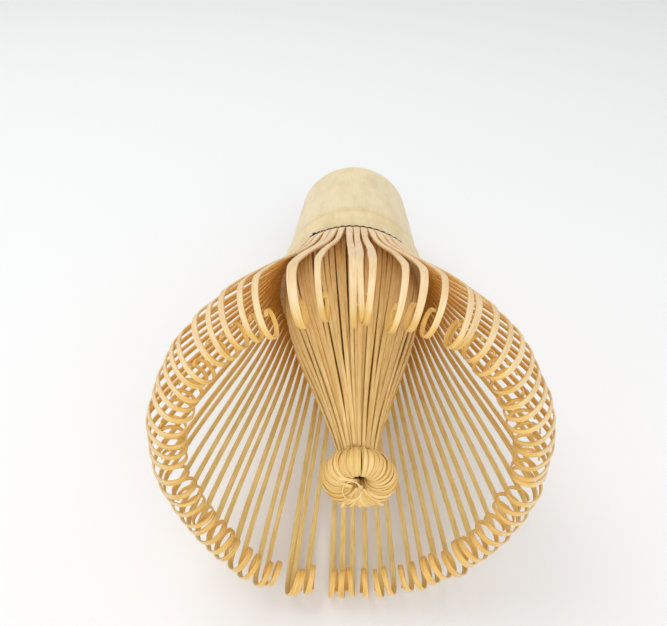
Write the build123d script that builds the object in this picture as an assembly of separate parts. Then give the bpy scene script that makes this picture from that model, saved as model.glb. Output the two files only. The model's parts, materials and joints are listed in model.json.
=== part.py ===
from build123d import *
from math import atan, cos, degrees, radians, sin
import os

# Bamboo tea whisk. It is drawn standing on the cut end of its handle, with its axis along +Z and
# the mouth up, and is laid on its side at the end. Radii are measured from that axis, heights from
# the cut end, and azimuths turn about the axis, with 90 degrees on top once the whisk lies down.

# Culm handle
BUTT_RADIUS = 14.2            # outside, at the cut end
NODE_RADIUS = 15.25           # outside, at the node
ROOT_RADIUS = 15.8            # outside, where the tines are split off
HANDLE_HEIGHT = 48.2          # cut end to tine roots
NODE_HEIGHT = 38.0            # middle of the node's ridge
NODE_HALF_WIDTH = 1.6
NODE_RISE = 0.45              # how far the ridge stands out
BUTT_BORE_RADIUS = 11.0
BUTT_BORE_DEPTH = 35.5        # cut end to the node's diaphragm
DIAPHRAGM_THICKNESS = 2.4
CUP_RADIUS = 12.9             # bore between the diaphragm and the tines
EDGE_BREAK = 0.4
BUTT_WEAR = 0.2               # depth of the worn spot where the cut end's edge rests on the table

BOTTOM_AZIMUTH = 270.0        # the side that the whisk lies on

# How the culm is split: the same number of outer and inner tines, taken turn about
SECTORS = 18
TINES_PER_SECTOR = 4
SPLIT_GAP = 0.1               # between the culm's end and the outer tine roots

# Outer tines: a flare, then a hook that turns in over the mouth, then a small closed curl
OUTER_ROOT_RADIUS = 15.45     # to the middle of the strip
OUTER_WIDTH = 1.0
OUTER_ROOT_THICKNESS = 0.65
OUTER_TIP_THICKNESS = 0.4
FLARE_LENGTH = 46.0
FLARE_RADII = (17.9, 25.5)    # control radii at one third and two thirds of the flare
RIM_RADIUS = 29.4             # at the end of the flare
HOOK_RADIUS = 8.0
HOOK_ANGLE = 54.0
EASE_RADIUS = 4.9
EASE_ANGLE = 25.0
CURL_RADIUS = 1.8
CURL_ANGLE = 270.0
LEVEL_HALF_ANGLE = 17.5       # to each side of the bottom; the tines between spread level on the table
ROUND_FROM_ANGLE = 37.5       # to each side of the bottom; the rim is round beyond

# Inner tines: a cone of strips that gathers in a neck and is coiled into a knot
INNER_ROOT_RADIUS = 13.9      # to the middle of the strip
INNER_ROOT_GAP = 0.9          # room for the bundle to lean at its root
INNER_ROOT_THICKNESS = 0.6
INNER_TIP_THICKNESS = 0.4
INNER_TINE_ANGLE = 4.2        # width of a strip, as an angle about the axis
BUNDLE_LENGTH = 48.8          # tine roots to neck
BUNDLE_RADII = (13.2, 5.8)    # control radii at one third and two thirds of the length
NECK_RADIUS = 2.85
KNOT_HEIGHT = 101.2           # middle of the knot
KNOT_RING_RADIUS = 3.3        # to the middle of the coiled ring
KNOT_COIL_RADIUS = 1.95

# Lacing thread
THREAD_RADIUS = 0.22
OUTER_LACING_DROP = 0.3       # below the tine roots
INNER_LACING_RADIUS = 14.65   # in the crotch between outer and inner tines
LACING_KNOT_RADIUS = 0.45
LACING_KNOT_AZIMUTH = 121.0


def culm_bore(radius, height):
    """A round hollow of the culm, standing on the axis."""
    return Cylinder(radius, height, align=(Align.CENTER, Align.CENTER, Align.MIN))


def make_handle_culm():
    """The uncut length of culm, with its node ridge outside and its diaphragm inside."""
    top = HANDLE_HEIGHT - SPLIT_GAP
    ridge_start = (NODE_RADIUS, NODE_HEIGHT - NODE_HALF_WIDTH)
    ridge_crest = (NODE_RADIUS + NODE_RISE, NODE_HEIGHT)
    ridge_end = (NODE_RADIUS + NODE_RISE / 3, NODE_HEIGHT + NODE_HALF_WIDTH)
    outline = [
        Polyline((0, top), (0, 0), (BUTT_RADIUS - EDGE_BREAK, 0), (BUTT_RADIUS, EDGE_BREAK), ridge_start),
        ThreePointArc(ridge_start, ridge_crest, ridge_end),
        Polyline(ridge_end, (ROOT_RADIUS, top), (0, top)),
    ]
    solid_culm = revolve(Plane.XZ * make_face(outline), axis=Axis.Z)
    cup_floor = BUTT_BORE_DEPTH + DIAPHRAGM_THICKNESS
    butt_bore = culm_bore(BUTT_BORE_RADIUS, BUTT_BORE_DEPTH)
    cup = Pos(Z=cup_floor) * culm_bore(CUP_RADIUS, top - cup_floor)
    return solid_culm - butt_bore - cup - make_table_below_butt()


def make_table_below_butt():
    """The piece of table that wears the edge of the cut end, seen from the upright whisk."""
    size = BUTT_RADIUS
    table = Box(size, size, size, align=(Align.CENTER, Align.MAX, Align.CENTER))
    return Pos(Y=BUTT_WEAR - BUTT_RADIUS, Z=EDGE_BREAK) * Rot(X=lying_lean()) * table


def flare_points(spread):
    """Control points of an outer tine's flare, as (radius, height), when its rim is spread further out."""
    third = FLARE_LENGTH / 3
    rise, swell = FLARE_RADII
    radii = (OUTER_ROOT_RADIUS, rise + spread / 3, swell + spread * 2 / 3, RIM_RADIUS + spread)
    return [Vector(radius, HANDLE_HEIGHT + third * step) for step, radius in enumerate(radii)]


def outer_tine_side(root_shift, tip_shift, spread=0.0):
    """One face of an outer tine, from root to curl, moved outwards from the strip's middle."""
    root, rise, swell, rim = flare_points(spread)
    along = (rim - swell).normalized()
    across = Vector(along.Y, -along.X)
    flare = Bezier(
        root + Vector(root_shift, 0),
        rise + Vector(root_shift, 0),
        swell + across * tip_shift,
        rim + across * tip_shift,
    )
    side = [flare]
    for radius, angle in ((HOOK_RADIUS, HOOK_ANGLE), (EASE_RADIUS, EASE_ANGLE), (CURL_RADIUS, CURL_ANGLE)):
        side.append(JernArc(side[-1] @ 1, side[-1] % 1, radius + tip_shift, angle))
    return side


def rim_places():
    """Points, as radius and height, on the outer face of a round rim's tine, up to its hook's end."""
    rim = outer_tine_side(OUTER_ROOT_THICKNESS / 2, OUTER_TIP_THICKNESS / 2)[:2]
    return [edge @ (step / 100) for edge in rim for step in range(101)]


def rim_spread(azimuth):
    """How far a tine's rim is spread out, so that the tines under the whisk end level on the table."""
    aside = abs(azimuth - BOTTOM_AZIMUTH)
    level = max(place.X for place in rim_places())
    level_aside = radians(min(aside, LEVEL_HALF_ANGLE))
    lower_corner = OUTER_WIDTH / 2 * sin(level_aside)
    level_spread = (level - lower_corner) / cos(level_aside) - level
    share = (ROUND_FROM_ANGLE - aside) / (ROUND_FROM_ANGLE - LEVEL_HALF_ANGLE)
    return level_spread * max(0.0, min(1.0, share))


def lying_lean():
    """Angle between the axis and the table when the bottom tines and the worn edge both rest on it."""
    worn_radius = BUTT_RADIUS - BUTT_WEAR
    slopes = [(place.X - worn_radius) / (place.Y - EDGE_BREAK) for place in rim_places()]
    return degrees(atan(max(slopes)))


def make_outer_tine(spread):
    """One outer tine in the plane of azimuth 0."""
    outer_face = outer_tine_side(OUTER_ROOT_THICKNESS / 2, OUTER_TIP_THICKNESS / 2, spread)
    inner_face = outer_tine_side(-OUTER_ROOT_THICKNESS / 2, -OUTER_TIP_THICKNESS / 2, spread)
    root_end = Line(outer_face[0] @ 0, inner_face[0] @ 0)
    curl_end = Line(outer_face[-1] @ 1, inner_face[-1] @ 1)
    profile = make_face([*outer_face, curl_end, *inner_face, root_end])
    return extrude(Plane.XZ * profile, amount=OUTER_WIDTH / 2, both=True)


def inner_tine_side(root_shift, neck_shift):
    """One face of an inner tine, from root to neck, moved outwards from the strip's middle."""
    start = HANDLE_HEIGHT + INNER_ROOT_GAP - SPLIT_GAP
    third = (HANDLE_HEIGHT + BUNDLE_LENGTH - start) / 3
    return Bezier(
        (INNER_ROOT_RADIUS + root_shift, start),
        (BUNDLE_RADII[0] + root_shift, start + third),
        (BUNDLE_RADII[1] + neck_shift, start + 2 * third),
        (NECK_RADIUS + neck_shift, start + 3 * third),
    )


def make_inner_tine():
    """One inner tine, a wedge of the bundle's cone that straddles azimuth 0."""
    outer_face = inner_tine_side(INNER_ROOT_THICKNESS / 2, INNER_TIP_THICKNESS / 2)
    inner_face = inner_tine_side(-INNER_ROOT_THICKNESS / 2, -INNER_TIP_THICKNESS / 2)
    root_end = Line(outer_face @ 0, inner_face @ 0)
    neck_end = Line(outer_face @ 1, inner_face @ 1)
    profile = Plane.XZ * make_face([outer_face, neck_end, inner_face, root_end])
    wedge = revolve(profile, axis=Axis.Z, revolution_arc=INNER_TINE_ANGLE)
    return Rot(Z=-INNER_TINE_ANGLE / 2) * wedge


def sector_azimuths(sector):
    """Where the tines of one sector stand: half a pitch inside its edges, and a pitch apart."""
    pitch = 360 / (SECTORS * TINES_PER_SECTOR)
    return [pitch * (sector * TINES_PER_SECTOR + step + 0.5) for step in range(TINES_PER_SECTOR)]


def make_outer_sector(sector):
    """Four outer tines side by side."""
    return Compound([Rot(Z=a) * make_outer_tine(rim_spread(a)) for a in sector_azimuths(sector)])


def make_inner_sector(sector):
    """Four inner tines side by side."""
    return Compound([Rot(Z=a) * make_inner_tine() for a in sector_azimuths(sector)])


def make_inner_tip_knot():
    """The neck, and the ring of coiled tips around a small hollow."""
    neck_top = HANDLE_HEIGHT + BUNDLE_LENGTH
    collar = Pos(Z=neck_top) * culm_bore(NECK_RADIUS + INNER_TIP_THICKNESS / 2, KNOT_HEIGHT - neck_top)
    coil = Pos(Z=KNOT_HEIGHT) * Torus(KNOT_RING_RADIUS, KNOT_COIL_RADIUS)
    return collar + coil


def make_outer_lacing():
    """The turn of thread around the culm, just below the outer tine roots."""
    return Pos(Z=HANDLE_HEIGHT - OUTER_LACING_DROP) * Torus(ROOT_RADIUS + THREAD_RADIUS, THREAD_RADIUS)


def make_inner_lacing():
    """The turn of thread that keeps the outer tines apart from the inner ones."""
    return Pos(Z=HANDLE_HEIGHT - SPLIT_GAP + THREAD_RADIUS) * Torus(INNER_LACING_RADIUS, THREAD_RADIUS)


def make_lacing_knot():
    """The small knot where the thread's ends are tied, resting on the outside of the lacing."""
    lacing_outside = ROOT_RADIUS + 2 * THREAD_RADIUS
    middle = Pos(lacing_outside + LACING_KNOT_RADIUS, 0, HANDLE_HEIGHT - OUTER_LACING_DROP)
    return Rot(Z=LACING_KNOT_AZIMUTH) * middle * Sphere(LACING_KNOT_RADIUS)


def make_whisk():
    """Every node, upright, by name."""
    nodes = {
        "handle_culm": make_handle_culm(),
        "outer_lacing_thread": make_outer_lacing(),
        "inner_lacing_thread": make_inner_lacing(),
        "lacing_knot": make_lacing_knot(),
        "inner_tip_knot": make_inner_tip_knot(),
    }
    for sector in range(SECTORS):
        nodes[f"outer_tines_{sector + 1:02d}"] = make_outer_sector(sector)
        nodes[f"inner_tines_{sector + 1:02d}"] = make_inner_sector(sector)
    return nodes


def lying_place(nodes):
    """Where the whisk goes when it is laid on the table, centred over the origin."""
    turn = Rot(X=90 - lying_lean())
    box = Compound([turn * shape for shape in nodes.values()]).bounding_box()
    return Pos(-box.center().X, -box.center().Y, -box.min.Z) * turn


whisk = make_whisk()
place = lying_place(whisk)
os.makedirs("parts", exist_ok=True)
for name, shape in whisk.items():
    export_step(place * shape, f"parts/{name}.step")
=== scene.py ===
import json
import math
import random

import bpy
import numpy as np
from mathutils import Matrix, Vector


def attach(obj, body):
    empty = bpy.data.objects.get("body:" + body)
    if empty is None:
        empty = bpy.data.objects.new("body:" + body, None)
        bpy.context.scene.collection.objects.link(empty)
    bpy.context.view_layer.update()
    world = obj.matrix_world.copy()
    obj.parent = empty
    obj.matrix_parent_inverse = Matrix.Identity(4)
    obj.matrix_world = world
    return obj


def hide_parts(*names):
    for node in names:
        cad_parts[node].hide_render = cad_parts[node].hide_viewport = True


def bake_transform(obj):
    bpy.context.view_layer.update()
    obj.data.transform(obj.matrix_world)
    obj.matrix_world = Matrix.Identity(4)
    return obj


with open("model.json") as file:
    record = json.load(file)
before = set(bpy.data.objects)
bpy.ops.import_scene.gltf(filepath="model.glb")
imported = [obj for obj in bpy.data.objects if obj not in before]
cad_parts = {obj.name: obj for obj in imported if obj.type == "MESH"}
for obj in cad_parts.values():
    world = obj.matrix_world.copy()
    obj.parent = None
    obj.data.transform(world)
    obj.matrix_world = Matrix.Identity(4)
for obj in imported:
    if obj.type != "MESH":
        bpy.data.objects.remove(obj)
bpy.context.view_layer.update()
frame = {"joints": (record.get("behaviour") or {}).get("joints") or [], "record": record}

# Shapes are worked out in whisk coordinates, in millimetres: the axis along +Z from the cut end of
# the handle, azimuth 90 degrees on top of the lying whisk. to_frame() places them in the frame.

MM = 0.001
SECTORS = 18
TINES_PER_SECTOR = 4
TINES = SECTORS * TINES_PER_SECTOR
PITCH = 360 / TINES

# Culm handle
BUTT_RADIUS = 14.2
NODE_RADIUS = 15.25
ROOT_RADIUS = 15.8
ROOT_HEIGHT = 48.2
NODE_HEIGHT = 38.0
BORE_RADIUS = 11.0
BORE_DEPTH = 35.5
CUP_RADIUS = 12.9
CUP_FLOOR = 37.9

# Outer tines
FLARE_LENGTH = 46.0
FLARE_RADII = (15.45, 17.9, 25.5, 29.4)
ROOT_FAN = 14.0               # how quickly the strips fan out from under the thread
ROOT_FAN_SHARE = 0.11
HOOK_RADIUS = 8.0
HOOK_ANGLE = 54.0
EASE_RADIUS = 4.9
EASE_ANGLE = 25.0
CURL_RADIUS = 1.95
FLARE_STEPS = 34
HOOK_STEPS = 12
EASE_STEPS = 6
CURL_STEPS = 32
ROOT_OVERLAP = 1.2            # how far every tine runs down into the culm

# Inner tines
BUNDLE_RADII = (13.9, 13.2, 5.5, 2.55)
BUNDLE_LENGTH = 49.5
BUNDLE_LEAN = 1.4             # how far the bundle has drifted sideways by its tip
BUNDLE_DROP = 1.3             # and how far it has sunk
KNOT_HEIGHT = 101.5
KNOT_RING_RADIUS = 3.2
KNOT_COIL_RADIUS = 2.08
KNOT_SQUASH = 0.88            # the knot sags: flatter than it is wide
KNOT_NECK_RADIUS = 2.2
KNOT_NECK_DROP = 3.8          # how far below the middle of the knot its neck starts
KNOT_STRIPS = 150

# Lacing thread
THREAD_PLY = 0.08
INNER_LACING_RADIUS = 14.65
THREAD_TOP_AZIMUTH = 87.0     # the thread lies on top of the tines about here, and is sunk elsewhere
THREAD_TOP_HALF = 33.0
KNOT_AZIMUTH = 119.0

joints = {joint["name"]: joint for joint in frame["joints"]}
mounts = {mount["name"]: mount for mount in frame["record"]["mounts"]}


def whisk_axes():
    """Where the whisk's own axes and the middle of its cut end lie in the frame."""
    ahead = -Vector(mounts["handle_bore"]["axis"])
    side = Vector((1, 0, 0))
    root = Vector(joints["inner_bundle_sway"]["pos_m"])
    return side, ahead.cross(side), ahead, root - ahead * ROOT_HEIGHT * MM


AXES = whisk_axes()


def to_frame(points):
    """Whisk coordinates in millimetres to frame coordinates in metres."""
    side, up, ahead, butt = (np.array(axis) for axis in AXES)
    points = np.asarray(points, float) * MM
    return points[..., :1] * side + points[..., 1:2] * up + points[..., 2:] * ahead + butt


def bezier(values, u):
    """A cubic Bezier of four numbers, at every u."""
    a, b, c, d = values
    v = 1 - u
    return v**3 * a + 3 * v * v * u * b + 3 * v * u * u * c + u**3 * d


def smooth(u):
    """0 to 1 with level ends."""
    u = np.clip(u, 0, 1)
    return u * u * (3 - 2 * u)


# ---------------------------------------------------------------------------- mesh building


def new_object(name, vertices, faces, material, grain=None, skin=None, painted_glow=None):
    """A smooth-shaded mesh piece, with the attributes that the bamboo materials read."""
    mesh = bpy.data.meshes.new(name)
    mesh.from_pydata([tuple(v) for v in vertices], [], faces)
    mesh.polygons.foreach_set("use_smooth", [True] * len(mesh.polygons))
    if grain is not None:
        attribute = mesh.attributes.new("grain", "FLOAT_VECTOR", "POINT")
        attribute.data.foreach_set("vector", np.asarray(grain, np.float32).ravel())
    # The second attribute is each vertex's share of painted amber glow.
    for label, values in (("skin", skin), ("painted_glow", painted_glow)):
        if values is not None:
            attribute = mesh.attributes.new(label, "FLOAT", "POINT")
            attribute.data.foreach_set("value", np.asarray(values, np.float32))
    mesh.materials.append(material)
    mesh.update()
    piece = bpy.data.objects.new(name, mesh)
    bpy.context.scene.collection.objects.link(piece)
    return piece


class Strips:
    """Collects swept strips and tubes into one mesh."""

    def __init__(self):
        self.vertices, self.faces, self.grain, self.skin, self.painted_glow = [], [], [], [], []

    def sweep(self, path, normals, section, skin, widths, thicknesses, number, paleness=1.0, painted_glow=0.0):
        """A strip whose section, in half widths and half thicknesses, follows path."""
        path = np.asarray(path, float)
        tangent = np.gradient(path, axis=0)
        tangent /= np.linalg.norm(tangent, axis=1)[:, None]
        across = np.cross(tangent, normals)
        across /= np.linalg.norm(across, axis=1)[:, None]
        outward = np.cross(across, tangent)
        length = np.r_[0, np.cumsum(np.linalg.norm(np.diff(path, axis=0), axis=1))]
        base = sum(len(v) for v in self.vertices)
        count = len(section)
        rings = (
            path[:, None]
            + across[:, None] * (section[:, 0][None] * widths[:, None] / 2)[..., None]
            + outward[:, None] * (section[:, 1][None] * thicknesses[:, None] / 2)[..., None]
        )
        self.vertices.append(rings.reshape(-1, 3))
        grain = np.zeros((len(path), count, 3))
        grain[..., 0] = section[:, 0][None] * widths[:, None] / 2
        grain[..., 1] = length[:, None]
        grain[..., 2] = number
        self.grain.append(grain.reshape(-1, 3))
        self.skin.append((skin[None] * np.broadcast_to(paleness, len(path))[:, None]).ravel())
        # each ring's share of painted amber glow
        self.painted_glow.append(np.repeat(np.broadcast_to(painted_glow, len(path)), count))
        for ring in range(len(path) - 1):
            for corner in range(count):
                here = base + ring * count + corner
                beside = base + ring * count + (corner + 1) % count
                self.faces.append((here, beside, beside + count, here + count))
        self.faces.append(tuple(base + corner for corner in reversed(range(count))))
        last = base + (len(path) - 1) * count
        self.faces.append(tuple(last + corner for corner in range(count)))

    def build(self, name, material):
        return new_object(
            name,
            to_frame(np.concatenate(self.vertices)),
            self.faces,
            material,
            np.concatenate(self.grain),
            np.concatenate(self.skin),
            np.concatenate(self.painted_glow),
        )


def strip_section(edge=0.16, bevel=0.3):
    """A flat strip with eased edges; the second value says how much of a vertex is skin."""
    half = [
        (1, 1 - bevel, 0.6),
        (1 - edge / 2, 1 - bevel / 3, 1),
        (1 - edge, 1, 1),
        (0.4, 1.06, 1),
        (-0.4, 1.06, 1),
        (-1 + edge, 1, 1),
        (-1 + edge / 2, 1 - bevel / 3, 1),
        (-1, 1 - bevel, 0.6),
        (-1, -1 + bevel, 0.5),
        (-1 + edge, -1, 0.25),
        (-0.5, -1.04, 0),
        (0.5, -1.04, 0),
        (1 - edge, -1, 0.25),
        (1, -1 + bevel, 0.5),
    ]
    values = np.array(half)
    return values[:, :2], values[:, 2]


SECTION, SECTION_SKIN = strip_section()


def cylinder_frame(azimuth):
    """Radial and tangential directions at azimuths in radians."""
    zero = np.zeros_like(azimuth)
    radial = np.stack([np.cos(azimuth), np.sin(azimuth), zero], -1)
    tangential = np.stack([-np.sin(azimuth), np.cos(azimuth), zero], -1)
    return radial, tangential


# ---------------------------------------------------------------------------- outer tines

# The whisk has been handled: a few tips lean on a neighbour and leave a gap on their other side. Each
# lean is by tine number, in quarters of the space between two tines, and plus is towards the next
# number. All the tips also scatter a little, and sag at the sides.
LEANING = {16: 2, 18: -2, 20: 1, 21: -3, 27: 2, 49: 1, 52: 1}
SCATTER = 0.7                 # degrees
WIDE = {14: 1.22, 20: 1.25}   # tines that were split wider than the rest
SAG = 3.8                     # how far the tips at the sides have sunk round the rim, in degrees
TABLE_CLEARANCE = 0.02
UNDER_HOOK_SHARE = 0.46       # how much smaller the hooks next to the table are,
UNDER_EXTRA_LENGTH = 2.7      # and how much longer their flare is
RIM_BULGE = 1.1               # the rim stands out a little on the left, low down
RIM_BULGE_AZIMUTH = 238
RIM_BULGE_WIDTH = 15
CRANNY_LENGTH = 26            # how far up from the roots the flesh is painted amber for light caught between the tines
WIDEST = 1.28


class OuterTine:
    """The random shape of one outer tine."""

    def __init__(self, number):
        dice = random.Random(7000 + number)
        self.number = number
        self.azimuth = PITCH * (number + 0.5)
        below = math.radians(self.azimuth - 270)
        lean = LEANING.get(number, 0) * PITCH / 4
        self.stray = lean - SAG * math.sin(below) + dice.gauss(0, SCATTER)
        from_bulge = (self.azimuth - RIM_BULGE_AZIMUTH) / RIM_BULGE_WIDTH
        self.rim = dice.uniform(-0.35, 0.0) + RIM_BULGE * math.exp(-(from_bulge**2))
        self.length = FLARE_LENGTH - dice.uniform(0, 0.7)
        # 1 for the tines next to the table, 0 for those above
        self.under = smooth((math.cos(below) - 0.15) / 0.65)
        self.hook_radius = HOOK_RADIUS * dice.uniform(0.9, 1.0) * (1 - UNDER_HOOK_SHARE * self.under)
        self.length += UNDER_EXTRA_LENGTH * self.under
        self.hook_angle = HOOK_ANGLE + dice.gauss(0, 2.5)
        self.ease_angle = EASE_ANGLE + dice.gauss(0, 2.5)
        self.curl_radius = CURL_RADIUS * dice.uniform(0.93, 1.04)
        self.curl_angle = dice.uniform(300, 338)
        sideways = dice.uniform(0.3, 0.6) + 0.3 * self.under
        self.helix = math.copysign(sideways, math.sin(2 * math.radians(self.azimuth)))
        self.tip_turn = math.radians(dice.gauss(0, 2.5))
        self.twist = math.radians(dice.gauss(0, 3))
        self.width = dice.uniform(0.88, 1.1) * WIDE.get(number, 1.0)

    def profile(self):
        """Radius and height from below the root to the tip, and how far the tine has turned in."""
        u = np.linspace(0, 1, FLARE_STEPS)
        fan = ROOT_FAN * u * np.exp(-u / ROOT_FAN_SHARE)
        radius = bezier(FLARE_RADII, u) + fan + self.rim * smooth(u)
        height = ROOT_HEIGHT + u * self.length
        radius = np.r_[radius[0] - 0.02, radius]
        height = np.r_[height[0] - ROOT_OVERLAP, height]
        points = list(zip(radius, height))
        heading = math.atan2(radius[-1] - radius[-2], height[-1] - height[-2])
        bends = [(self.hook_radius, self.hook_angle / HOOK_STEPS)] * HOOK_STEPS
        bends += [(EASE_RADIUS, self.ease_angle / EASE_STEPS)] * EASE_STEPS
        for step in range(CURL_STEPS):
            tightening = 1.12 - 0.3 * step / CURL_STEPS
            bends.append((self.curl_radius * tightening, self.curl_angle / CURL_STEPS))
        turned = [0.0] * len(points)
        for bend, angle in bends:
            step = math.radians(angle)
            heading -= step / 2
            r, z = points[-1]
            points.append((r + bend * step * math.sin(heading), z + bend * step * math.cos(heading)))
            heading -= step / 2
            turned.append(turned[-1] + step)
        return np.array(points), np.array(turned)

    def path(self):
        """The strip's middle line, the way its skin faces, and how far it has turned in."""
        points, turned = self.profile()
        radius, height = points.T
        along = np.clip((height - ROOT_HEIGHT) / self.length, 0, 1)
        along[FLARE_STEPS + 1:] = 1
        radial, tangential = cylinder_frame(np.radians(self.azimuth + self.stray * along))
        curl_start = math.radians(self.hook_angle + self.ease_angle)
        in_curl = np.clip((turned - curl_start) / (turned[-1] - curl_start), 0, 1)
        turned_aside = (radius[FLARE_STEPS] - radius) * (turned > 0) * math.tan(self.tip_turn)
        sideways = self.helix * smooth(in_curl) + turned_aside
        path = radial * radius[:, None] + tangential * sideways[:, None]
        path[:, 2] = height
        slope = np.gradient(points, axis=0)
        slope /= np.linalg.norm(slope, axis=1)[:, None]
        normals = radial * slope[:, 1:] - np.array([0, 0, 1.0]) * slope[:, :1]
        turn = self.twist * smooth(along) + self.tip_turn * smooth(turned)
        across = np.cross(np.gradient(path, axis=0), normals)
        across /= np.linalg.norm(across, axis=1)[:, None]
        normals = normals * np.cos(turn)[:, None] + across * np.sin(turn)[:, None]
        return path, normals, turned

    def rest_on_table(self):
        """Press the rim in until no part of the strip is below the table."""
        for _ in range(4):
            path, _, _ = self.path()
            half_strip = 0.2 + 0.5 * abs(math.cos(math.radians(self.azimuth)))
            lowest = to_frame(path)[:, 2].min() / MM - half_strip
            self.rim += min(0.0, lowest - TABLE_CLEARANCE)

    def add_to(self, strips):
        self.rest_on_table()
        path, normals, turned = self.path()
        distance = np.r_[0, np.cumsum(np.linalg.norm(np.diff(path, axis=0), axis=1))]
        marks = (0, 1.2, 6, 14, 40, 47, 54.5, 57, 62, 67)
        widths = np.interp(distance, marks, (1.24, 1.24, 1.08, 0.9, 0.86, 0.96, 0.88, 0.8, 0.68, 0.55))
        widths *= self.width
        upper = smooth((math.sin(math.radians(self.azimuth)) + 0.5) / 0.9)
        widths = widths * (1 + 0.2 * self.under * smooth(turned / 1.5))
        widths = np.minimum(widths * (1 + 0.16 * upper * (1 - smooth(turned / 0.5))), WIDEST)
        thicknesses = (0.6, 0.6, 0.52, 0.44, 0.38, 0.34, 0.3, 0.28, 0.25, 0.22)
        thicknesses = np.interp(distance, marks, thicknesses)
        # Along the curl the pale skin gives way to golden flesh colour: partly the thin shaved tips' own
        # colour, partly painted glow of light coming through them.
        paleness = 1 - 0.9 * smooth((turned - 0.9) / 1.0)
        # Painted glow: the flesh is painted amber on the upper tines and for a stretch above the roots,
        # for light coming through the strips and bouncing between them. It fades out along the hook, and
        # the curls get half of it as painted glow of light through their thin ends.
        cranny = 1 - smooth(distance / CRANNY_LENGTH)
        painted_glow = np.maximum(upper, cranny) * (1 - smooth(turned / 0.9))
        painted_glow += 0.5 * smooth((turned - 0.9) / 1.0)
        strips.sweep(
            path, normals, SECTION, SECTION_SKIN, widths, thicknesses, self.number, paleness, painted_glow
        )


def outer_tines(material):
    """One piece for each sector of outer tines."""
    for sector in range(SECTORS):
        strips = Strips()
        for step in range(TINES_PER_SECTOR):
            OuterTine(sector * TINES_PER_SECTOR + step).add_to(strips)
        name = f"outer_tines_{sector + 1:02d}"
        piece = strips.build(f"bamboo_{name}", material)
        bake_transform(piece)
        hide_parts(name)


# ---------------------------------------------------------------------------- inner tines


def bundle_drift(height):
    """How far the bundle's middle has drifted and sunk at a height."""
    share = (np.clip(height - ROOT_HEIGHT, 0, None) / BUNDLE_LENGTH) ** 1.5
    return np.stack([BUNDLE_LEAN * share, -BUNDLE_DROP * share], -1)


def inner_tine(strips, number):
    """One inner tine, from inside the cup to the neck of the knot."""
    dice = random.Random(9000 + number)
    u = np.linspace(0, 1, 44)
    height = ROOT_HEIGHT + BUNDLE_LENGTH * u
    layer = (0.0, -0.4, -0.2, -0.55)[number % 4] + dice.gauss(0, 0.08)
    wave = dice.gauss(0, 0.14) * np.sin(math.pi * u) + dice.gauss(0, 0.1) * np.sin(2 * math.pi * u)
    radius = bezier(BUNDLE_RADII, u) + layer * smooth(u * 1.2) + wave
    height = np.r_[height[0] - ROOT_OVERLAP, height]
    radius = np.r_[radius[0], radius]
    u = np.r_[0, u]
    drift = dice.gauss(0, 0.55) * np.sin(math.pi * u) + dice.gauss(0, 4.5) * u**3
    radial, _ = cylinder_frame(np.radians(PITCH * (number + 0.5) + drift))
    path = radial * radius[:, None]
    path[:, :2] += bundle_drift(height)
    path[:, 2] = height
    slope = np.gradient(np.stack([radius, height], -1), axis=0)
    slope /= np.linalg.norm(slope, axis=1)[:, None]
    normals = radial * slope[:, 1:] - np.array([0, 0, 1.0]) * slope[:, :1]
    widths = np.interp(u, (0, 0.2, 0.5, 0.75, 1), (1.06, 1.04, 0.82, 0.61, 0.48))
    widths *= dice.uniform(0.82, 1.06)
    thicknesses = np.interp(u, (0, 0.3, 1), (0.5, 0.36, 0.24))
    paleness = dice.uniform(0.55, 1)
    strips.sweep(path, normals, SECTION, SECTION_SKIN, widths, thicknesses, 200 + number, paleness)


def inner_tines(material):
    """One piece for each sector of inner tines."""
    for sector in range(SECTORS):
        strips = Strips()
        for step in range(TINES_PER_SECTOR):
            inner_tine(strips, sector * TINES_PER_SECTOR + step)
        name = f"inner_tines_{sector + 1:02d}"
        piece = strips.build(f"bamboo_{name}", material)
        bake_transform(piece)
        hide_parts(name)


def knot_strip(strips, number, start, dice):
    """One gathered tip: up the neck, out over the coil to one side, and back down into the hollow."""
    spread = 52 * math.sin(math.radians(start)) + dice.gauss(0, 4)
    layer = number % 3
    coil = KNOT_COIL_RADIUS - 0.15 * layer + dice.gauss(0, 0.07)
    ring = KNOT_RING_RADIUS + dice.gauss(0, 0.1)
    coil_steps = 36
    neck_steps = 6
    turn = np.radians(np.linspace(-112 + dice.gauss(0, 4), 212 + dice.gauss(0, 8), coil_steps))
    radius = ring + coil * np.cos(turn)
    height = KNOT_HEIGHT + 0.9 * coil * np.sin(turn)
    rise = np.linspace(0, 1, neck_steps, endpoint=False)
    neck_height = KNOT_HEIGHT - KNOT_NECK_DROP
    radius = np.r_[KNOT_NECK_RADIUS + (radius[0] - KNOT_NECK_RADIUS) * smooth(rise), radius]
    height = np.r_[neck_height + (height[0] - neck_height) * rise, height]
    run = np.r_[np.zeros(neck_steps), np.linspace(0, 1, coil_steps)]
    radial, _ = cylinder_frame(np.radians(90 + start + spread * smooth(run * 1.1)))
    path = radial * radius[:, None]
    path[:, 1] *= 1 - (1 - KNOT_SQUASH) * np.r_[smooth(rise), np.ones(coil_steps)]
    path[:, :2] += bundle_drift(np.minimum(height, KNOT_HEIGHT))
    path[:, 2] = height
    slope = np.gradient(np.stack([radius, height], -1), axis=0)
    slope /= np.linalg.norm(slope, axis=1)[:, None]
    normals = radial * slope[:, 1:] - np.array([0, 0, 1.0]) * slope[:, :1]
    widths = np.interp(run, (0, 0.5, 1), (0.34, 0.4, 0.3)) * dice.uniform(0.75, 1.15)
    widths *= 1 + 0.25 * layer
    thicknesses = np.full(len(run), 0.22)
    paleness = dice.uniform(0.1, 0.8)
    strips.sweep(path, normals, SECTION, SECTION_SKIN, widths, thicknesses, 300 + number, paleness)


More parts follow.
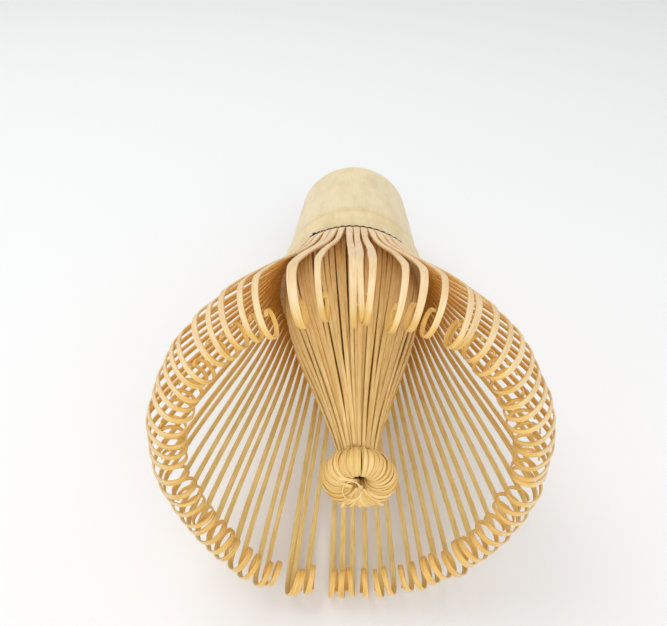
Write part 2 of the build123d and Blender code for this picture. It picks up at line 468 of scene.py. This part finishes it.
# Tips that have slipped out of the knot: width, then the points that each bends through, from the
# middle of the knot, as sideways, upwards and forwards.
LOOSE_TIPS = (
    (0.5, ((0.2, -0.3, 1.2), (-0.9, -3.4, 2.2), (0.9, -5.6, 1.7), (0.6, -2.2, 2.0), (0.3, -0.4, 1.2))),
    (0.42, ((-0.2, -0.6, 1.4), (-1.5, -2.0, 2.2), (-2.3, -3.4, 1.9), (-2.4, -4.2, 1.5))),
    (0.42, ((0.6, -0.8, 1.4), (1.8, -2.3, 2.1), (2.8, -3.2, 1.8), (3.6, -3.7, 1.4))),
    (0.5, ((-0.3, 0.3, 1.0), (-1.8, 1.6, 2.6), (-3.6, 2.4, 1.6), (-3.4, 0.4, 1.9), (-1.0, -0.2, 1.6))),
)
THIN_LOOP_RADIUS = 1.3


def loose_tip(strips, number, width, controls):
    """A strip along the Bezier curve of its control points."""
    u = np.linspace(0, 1, 40)[:, None]
    last = len(controls) - 1
    path = sum(
        math.comb(last, index) * u**index * (1 - u) ** (last - index) * np.array([point])
        for index, point in enumerate(controls)
    )
    path = path + np.array([*bundle_drift(KNOT_HEIGHT), KNOT_HEIGHT])
    normals = np.tile(np.array([0.05, 0.45, 0.89]), (len(u), 1))
    sizes = np.ones(len(u))
    strips.sweep(path, normals, SECTION, SECTION_SKIN, width * sizes, 0.2 * sizes, 380 + number, 0.8)


def tip_knot(material):
    """The coiled tips of the inner tines, with a few that have slipped out."""
    strips = Strips()
    dice = random.Random(41)
    for number in range(KNOT_STRIPS):
        share = 2 * (number + 0.5) / KNOT_STRIPS - 1
        start = math.copysign(180 * abs(share) ** 1.15, share) + dice.gauss(0, 2)
        knot_strip(strips, number, start, dice)
    for number, (width, controls) in enumerate(LOOSE_TIPS):
        loose_tip(strips, number, width, controls)
    around = np.linspace(0.3, 0.3 + 1.9 * math.pi, 48)
    outward = np.stack([np.cos(around), 0.89 * np.sin(around), -0.45 * np.sin(around)], -1)
    middle = np.array([*bundle_drift(KNOT_HEIGHT), KNOT_HEIGHT]) + np.array([-1.0, -0.5, 2.15])
    sizes = np.ones(len(around))
    loop = middle + THIN_LOOP_RADIUS * outward
    forward = np.tile(np.array([0, 0.45, 0.89]), (len(around), 1))
    strips.sweep(loop, forward, SECTION, SECTION_SKIN, 0.2 * sizes, 0.3 * sizes, 390)
    piece = strips.build("bamboo_inner_tip_knot", material)
    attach(piece, "inner_bundle")
    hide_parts("inner_tip_knot")


# ---------------------------------------------------------------------------- culm handle


def culm(material):
    """The handle: outside with its node, cut end, bore, diaphragm and cup, as one closed skin."""
    around = 180
    cut_end = [
        (BORE_RADIUS, 0.35), (BORE_RADIUS + 0.25, 0.06), (BORE_RADIUS + 0.6, 0), (BUTT_RADIUS - 0.7, 0),
        (BUTT_RADIUS - 0.3, 0.05), (BUTT_RADIUS - 0.08, 0.2), (BUTT_RADIUS, 0.5),
    ]
    outside = list(cut_end)
    for height in np.linspace(2, NODE_HEIGHT - 3.4, 16):
        share = height / NODE_HEIGHT
        outside.append((BUTT_RADIUS + (NODE_RADIUS - BUTT_RADIUS) * share, height))
    node_ridge = (
        (-2.6, 0.0), (-2.0, -0.04), (-1.6, -0.12), (-1.3, -0.16), (-1.0, -0.08), (-0.6, 0.14),
        (-0.2, 0.3), (0.3, 0.4), (0.9, 0.42), (1.6, 0.32), (2.4, 0.18), (3.4, 0.08),
    )
    for height, rise in node_ridge:
        outside.append((NODE_RADIUS + rise, NODE_HEIGHT + height))
    for height in np.linspace(NODE_HEIGHT + 4.2, ROOT_HEIGHT - 0.5, 6):
        share = (height - NODE_HEIGHT) / (ROOT_HEIGHT - NODE_HEIGHT)
        outside.append((NODE_RADIUS + 0.05 + (ROOT_RADIUS - NODE_RADIUS - 0.05) * share, height))
    outside += [(ROOT_RADIUS, ROOT_HEIGHT - 0.12), (ROOT_RADIUS - 0.12, ROOT_HEIGHT)]
    inside = [(CUP_RADIUS + 0.1, ROOT_HEIGHT), (CUP_RADIUS, ROOT_HEIGHT - 0.2)]
    inside += [(CUP_RADIUS, height) for height in np.linspace(ROOT_HEIGHT - 2, CUP_FLOOR + 1, 4)]
    inside += [(CUP_RADIUS - 0.8, CUP_FLOOR + 0.2), (CUP_RADIUS - 3, CUP_FLOOR)]
    inside += [(5.0, CUP_FLOOR), (0.6, CUP_FLOOR)]
    bore = [(0.6, BORE_DEPTH), (5.0, BORE_DEPTH), (BORE_RADIUS - 2.5, BORE_DEPTH - 0.1)]
    bore += [(BORE_RADIUS - 0.7, BORE_DEPTH - 0.4), (BORE_RADIUS, BORE_DEPTH - 1.4)]
    bore += [(BORE_RADIUS, height) for height in np.linspace(BORE_DEPTH - 4, 1.2, 10)]
    profile = outside + inside + bore
    angles = np.linspace(0, 2 * math.pi, around, endpoint=False)
    vertices, grain, skin = [], [], []
    for index, (radius, height) in enumerate(profile):
        on_skin = len(cut_end) - 1 <= index < len(outside) - 1
        for angle in angles:
            wobble = 1.0
            if on_skin:
                wobble += 0.0035 * math.sin(2 * angle + 0.6) * smooth(height / 12)
                wobble += 0.0012 * math.sin(3 * angle + height * 0.05)
            lift = 0.0
            if abs(height - NODE_HEIGHT) < 3.5 and on_skin:
                lift = 0.35 * math.sin(angle + 0.8) + 0.12 * math.sin(3 * angle)
            r = min(radius * wobble, radius + 0.02) if height < 3 else radius * wobble
            vertices.append((r * math.cos(angle), r * math.sin(angle), height + lift))
            grain.append((angle * 15, height, 1.0 if on_skin else 2.0))
            skin.append(1.0 if on_skin else 0.0)
    faces = []
    rings = len(profile)
    for ring in range(rings):
        above = (ring + 1) % rings
        if profile[ring] == inside[-1]:
            continue
        low = ring * around
        high = above * around
        for step in range(around):
            beside = (step + 1) % around
            faces.append((low + step, low + beside, high + beside, high + step))
    floor_ring = len(outside) + len(inside) - 1
    faces.append(tuple(floor_ring * around + step for step in reversed(range(around))))
    faces.append(tuple((floor_ring + 1) * around + step for step in range(around)))
    places = to_frame(vertices)
    places[:, 2] = np.maximum(places[:, 2], 0)
    piece = new_object("bamboo_handle_culm", places, faces, material, grain, skin)
    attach(piece, "handle")
    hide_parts("handle_culm")


# ---------------------------------------------------------------------------- lacing


def twisted_thread(strips, path, ply_radius, turns):
    """Two plies laid round each other along path."""
    path = np.asarray(path, float)
    tangent = np.gradient(path, axis=0)
    tangent /= np.linalg.norm(tangent, axis=1)[:, None]
    first = np.cross(tangent, np.array([0, 0, 1.0]))
    first /= np.linalg.norm(first, axis=1)[:, None]
    second = np.cross(tangent, first)
    length = np.r_[0, np.cumsum(np.linalg.norm(np.diff(path, axis=0), axis=1))]
    ring = np.array([(math.cos(a), math.sin(a)) for a in np.linspace(0, 2 * math.pi, 7)[:-1]])
    sizes = np.full(len(path), 2 * ply_radius)
    for ply in range(2):
        angle = 2 * math.pi * turns * length / length[-1] + math.pi * ply
        centre = path + ply_radius * (first * np.cos(angle)[:, None] + second * np.sin(angle)[:, None])
        strips.sweep(centre, first, ring, np.zeros(6), sizes, sizes, 400 + ply)


def ring_path(angles, radius, height):
    """Points round the axis."""
    return np.stack([radius * np.cos(angles), radius * np.sin(angles), height + 0 * angles], -1)


def lacing(material):
    """The thread over the outer tines, which is sunk away from the top, its inner row and its knot."""
    angles = np.radians(np.linspace(0, 360, TINES * 16 + 1))
    over = np.cos(np.radians(TINES * (np.degrees(angles) - PITCH / 2)))
    away = np.abs((np.degrees(angles) - THREAD_TOP_AZIMUTH + 180) % 360 - 180)
    sunk = smooth((away - THREAD_TOP_HALF) / 8)
    outer = Strips()
    outer_radius = ROOT_RADIUS + 0.16 + 0.05 * over - 0.4 * sunk
    outer_path = ring_path(angles, outer_radius, ROOT_HEIGHT + 0.1 - 0.05 * over)
    twisted_thread(outer, outer_path, THREAD_PLY, TINES * 2)
    piece = outer.build("thread_outer_lacing", material)
    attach(piece, "handle")
    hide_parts("outer_lacing_thread")

    inner = Strips()
    inner_path = ring_path(angles, INNER_LACING_RADIUS + 0.03 * over, ROOT_HEIGHT - 0.25)
    twisted_thread(inner, inner_path, THREAD_PLY, TINES * 2)
    piece = inner.build("thread_inner_lacing", material)
    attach(piece, "handle")
    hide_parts("inner_lacing_thread")

    knot = Strips()
    t = np.linspace(0, 2 * math.pi, 90)
    azimuth = math.radians(KNOT_AZIMUTH)
    radial, tangential = cylinder_frame(azimuth)
    middle = radial * (ROOT_RADIUS + 0.3) + np.array([0, 0, ROOT_HEIGHT])
    trefoil = (
        (np.sin(t) + 2 * np.sin(2 * t))[:, None] * 0.15 * tangential
        - np.sin(3 * t)[:, None] * 0.12 * radial
        + (np.cos(t) - 2 * np.cos(2 * t))[:, None] * np.array([0, 0, 0.13])
    )
    twisted_thread(knot, middle + trefoil, THREAD_PLY, 6)
    along = np.linspace(0, 1, 14)[:, None]
    for side, drop in ((1, 0.4), (-1, 0.8)):
        tail = middle + side * (0.2 + 0.9 * along) * tangential - (0.1 * along + 0.1) * radial
        twisted_thread(knot, tail - along**1.5 * np.array([0, 0, drop]), THREAD_PLY * 0.8, 2)
    piece = knot.build("thread_lacing_knot", material)
    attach(piece, "handle")
    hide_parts("lacing_knot")


# ---------------------------------------------------------------------------- materials


def ramp(tree, source, stops):
    """Colours along a value; each stop is a position and a colour."""
    made = tree.nodes.new("ShaderNodeValToRGB")
    while len(made.color_ramp.elements) < len(stops):
        made.color_ramp.elements.new(0.5)
    for element, (position, colour) in zip(made.color_ramp.elements, stops):
        element.position = position
        element.color = (*colour, 1)
    tree.links.new(source, made.inputs["Fac"])
    return made


def mix(tree, factor, first, second, blend="MIX"):
    """Two colours mixed; each input is a value or another node's output."""
    made = tree.nodes.new("ShaderNodeMix")
    made.data_type = "RGBA"
    made.blend_type = blend
    for value, index in ((factor, 0), (first, 6), (second, 7)):
        if isinstance(value, bpy.types.NodeSocket):
            tree.links.new(value, made.inputs[index])
        elif index == 0:
            made.inputs[0].default_value = value
        else:
            made.inputs[index].default_value = (*value, 1)
    return made.outputs[2]


def grain_noise(tree, scale, detail=3.0, roughness=0.55):
    """Noise in the strip's own coordinates: across, along and strip number, in millimetres."""
    attribute = tree.nodes.new("ShaderNodeAttribute")
    attribute.attribute_name = "grain"
    stretch = tree.nodes.new("ShaderNodeVectorMath")
    stretch.operation = "MULTIPLY"
    stretch.inputs[1].default_value = scale
    tree.links.new(attribute.outputs["Vector"], stretch.inputs[0])
    noise = tree.nodes.new("ShaderNodeTexNoise")
    noise.inputs["Scale"].default_value = 1.0
    noise.inputs["Detail"].default_value = detail
    noise.inputs["Roughness"].default_value = roughness
    tree.links.new(stretch.outputs[0], noise.inputs["Vector"])
    return noise.outputs["Fac"]


def bamboo(name, skin_colours, flesh_colours, roughness, fibre_scale, band=None, amber=None):
    """Split bamboo: pale scraped skin on the outside, golden fibrous flesh on the split faces.

    The flesh is mixed towards amber by a per-vertex share: painted glow of light coming through the thin
    strips and bouncing between them.
    """
    material = bpy.data.materials.new(name)
    material.use_nodes = True
    tree = material.node_tree
    shader = tree.nodes["Principled BSDF"]
    skin = tree.nodes.new("ShaderNodeAttribute")
    skin.attribute_name = "skin"
    fibre = grain_noise(tree, fibre_scale)
    patch = grain_noise(tree, (0.3, 0.09, 3.7), 2.0)
    fine = grain_noise(tree, (fibre_scale[0] * 3, fibre_scale[1] * 2.5, 5.1), 4.0, 0.7)
    pale = ramp(tree, fibre, [(0.3, skin_colours[0]), (0.5, skin_colours[1]), (0.72, skin_colours[2])])
    gold = ramp(tree, fibre, [(0.3, flesh_colours[0]), (0.5, flesh_colours[1]), (0.72, flesh_colours[2])])
    flesh = gold.outputs["Color"]
    # Painted glow: the flesh is mixed towards amber by its per-vertex share.
    if amber:
        glow_attribute = tree.nodes.new("ShaderNodeAttribute")
        glow_attribute.attribute_name = "painted_glow"
        deep = ramp(tree, fibre, [(0.3, amber[0]), (0.5, amber[1]), (0.72, amber[2])])
        flesh = mix(tree, glow_attribute.outputs["Fac"], flesh, deep.outputs["Color"])
    both = mix(tree, skin.outputs["Fac"], flesh, pale.outputs["Color"])
    tone = ramp(tree, patch, [(0.3, (0.88, 0.83, 0.72)), (0.55, (1, 1, 1)), (0.8, (1.04, 1.02, 1.0))])
    toned = mix(tree, 0.8, both, tone.outputs["Color"], "MULTIPLY")
    specks = ramp(tree, fine, [(0.3, (0.72, 0.6, 0.45)), (0.42, (1, 1, 1))])
    finished = mix(tree, 0.3, toned, specks.outputs["Color"], "MULTIPLY")
    if band:
        finished = mix(tree, 1.0, finished, height_band(tree, band), "MULTIPLY")
    tree.links.new(finished, shader.inputs["Base Color"])
    rough = tree.nodes.new("ShaderNodeMapRange")
    rough.inputs["To Min"].default_value = roughness - 0.08
    rough.inputs["To Max"].default_value = roughness + 0.12
    tree.links.new(fibre, rough.inputs["Value"])
    tree.links.new(rough.outputs["Result"], shader.inputs["Roughness"])
    bump = tree.nodes.new("ShaderNodeBump")
    bump.inputs["Strength"].default_value = 0.35
    bump.inputs["Distance"].default_value = 0.00003
    tree.links.new(fine, bump.inputs["Height"])
    tree.links.new(bump.outputs["Normal"], shader.inputs["Normal"])
    shader.inputs["Specular IOR Level"].default_value = 0.35
    return material


def height_band(tree, stops):
    """A tint that changes along the culm; each stop is a height in millimetres and a colour."""
    attribute = tree.nodes.new("ShaderNodeAttribute")
    attribute.attribute_name = "grain"
    split = tree.nodes.new("ShaderNodeSeparateXYZ")
    tree.links.new(attribute.outputs["Vector"], split.inputs[0])
    share = tree.nodes.new("ShaderNodeMath")
    share.operation = "DIVIDE"
    share.inputs[1].default_value = ROOT_HEIGHT
    tree.links.new(split.outputs["Y"], share.inputs[0])
    places = [(height / ROOT_HEIGHT, colour) for height, colour in stops]
    return ramp(tree, share.outputs[0], places).outputs["Color"]


def thread_material():
    """Dark cotton thread."""
    material = bpy.data.materials.new("lacing_thread_cotton")
    material.use_nodes = True
    tree = material.node_tree
    shader = tree.nodes["Principled BSDF"]
    fibre = grain_noise(tree, (14.0, 2.0, 1.0), 4.0)
    colour = ramp(tree, fibre, [(0.3, (0.012, 0.016, 0.012)), (0.7, (0.05, 0.06, 0.045))])
    tree.links.new(colour.outputs["Color"], shader.inputs["Base Color"])
    bump = tree.nodes.new("ShaderNodeBump")
    bump.inputs["Strength"].default_value = 0.5
    bump.inputs["Distance"].default_value = 0.00003
    tree.links.new(fibre, bump.inputs["Height"])
    tree.links.new(bump.outputs["Normal"], shader.inputs["Normal"])
    shader.inputs["Roughness"].default_value = 0.75
    return material


# ---------------------------------------------------------------------------- stage


def stage():
    """A pale floor, soft lights all round, and a view transform that keeps the colours as they are."""
    material = bpy.data.materials.new("floor_paint")
    material.use_nodes = True
    shader = material.node_tree.nodes["Principled BSDF"]
    shader.inputs["Base Color"].default_value = (0.86, 0.865, 0.87, 1)
    shader.inputs["Roughness"].default_value = 0.75
    shader.inputs["Specular IOR Level"].default_value = 0.2
    reach = 3.0
    corners = [(-reach, -reach, 0), (reach, -reach, 0), (reach, reach, 0), (-reach, reach, 0)]
    new_object("studio_floor", corners, [(0, 1, 2, 3)], material)

    world = bpy.data.worlds.new("studio")
    world.use_nodes = True
    world.node_tree.nodes["Background"].inputs["Color"].default_value = (1.0, 1.0, 1.0, 1)
    world.node_tree.nodes["Background"].inputs["Strength"].default_value = 0.7
    bpy.context.scene.world = world
    bpy.context.scene.view_settings.view_transform = "Standard"

    for name, place, size, power in (
        ("key", (-0.25, 0.1, 0.55), 0.4, 1.1),
        ("fill", (0.1, -0.5, 0.4), 0.5, 1.55),
    ):
        lamp = bpy.data.lights.new(name, "AREA")
        lamp.size = size
        lamp.energy = power
        light = bpy.data.objects.new(name, lamp)
        light.location = place
        light.rotation_euler = (-Vector(place)).to_track_quat("-Z", "Y").to_euler()
        bpy.context.scene.collection.objects.link(light)


def camera():
    """The view from above and in front of the mouth."""
    place = Vector((0.0002, -0.10759, 0.10455))
    yaw = math.radians(-2.09)
    pitch = math.radians(37.95)
    roll = math.radians(-0.26)
    ahead = Vector((math.sin(yaw) * math.cos(pitch), math.cos(yaw) * math.cos(pitch), -math.sin(pitch)))
    right = Vector((math.cos(yaw), -math.sin(yaw), 0))
    up = right.cross(ahead)
    level_right = right * math.cos(roll) + up * math.sin(roll)
    level_up = up * math.cos(roll) - right * math.sin(roll)
    lens = bpy.data.cameras.new("front_view")
    lens.sensor_fit = "HORIZONTAL"
    lens.sensor_width = 36
    lens.lens = 35.43
    lens.clip_start = 0.005
    viewer = bpy.data.objects.new("front_view", lens)
    basis = Matrix((level_right, level_up, -ahead)).transposed().to_4x4()
    viewer.matrix_world = Matrix.Translation(place) @ basis
    bpy.context.scene.collection.objects.link(viewer)
    bpy.context.scene.camera = viewer


camera()
tine_material = bamboo(
    "bamboo_outer_tine",
    ((0.76, 0.54, 0.28), (0.82, 0.61, 0.35), (0.87, 0.69, 0.44)),
    ((0.69, 0.49, 0.16), (0.79, 0.60, 0.23), (0.87, 0.69, 0.32)),
    0.42,
    (5.0, 0.35, 7.3),
    # The amber colours are painted glow, for light coming through the strips and bouncing between them.
    amber=((0.66, 0.28, 0.015), (0.78, 0.37, 0.03), (0.88, 0.49, 0.07)),
)
inner_material = bamboo(
    "bamboo_inner_tine",
    ((0.77, 0.53, 0.19), (0.86, 0.63, 0.27), (0.92, 0.72, 0.37)),
    ((0.62, 0.37, 0.09), (0.72, 0.46, 0.13), (0.80, 0.54, 0.19)),
    0.45,
    (5.0, 0.35, 7.3),
)
culm_material = bamboo(
    "bamboo_culm_skin",
    ((0.79, 0.65, 0.385), (0.81, 0.68, 0.415), (0.83, 0.71, 0.45)),
    ((0.70, 0.50, 0.24), (0.78, 0.60, 0.33), (0.84, 0.68, 0.42)),
    0.38,
    (2.2, 0.12, 3.0),
    # Tint along the culm: the darker band from 35.4 to 36.7 mm is painted shade in the node's groove.
    # Towards the roots, at 48.2 mm, the culm grows darker.
    (
        (0.0, (1, 1, 1)), (32.5, (1, 1, 1)), (35.4, (0.93, 0.89, 0.82)), (36.7, (0.89, 0.83, 0.72)),
        (38.4, (0.97, 0.94, 0.87)), (42.0, (0.98, 0.95, 0.88)), (48.2, (0.90, 0.84, 0.70)),
    ),
)
thread = thread_material()
culm(culm_material)
outer_tines(tine_material)
inner_tines(inner_material)
tip_knot(inner_material)
lacing(thread)
stage()
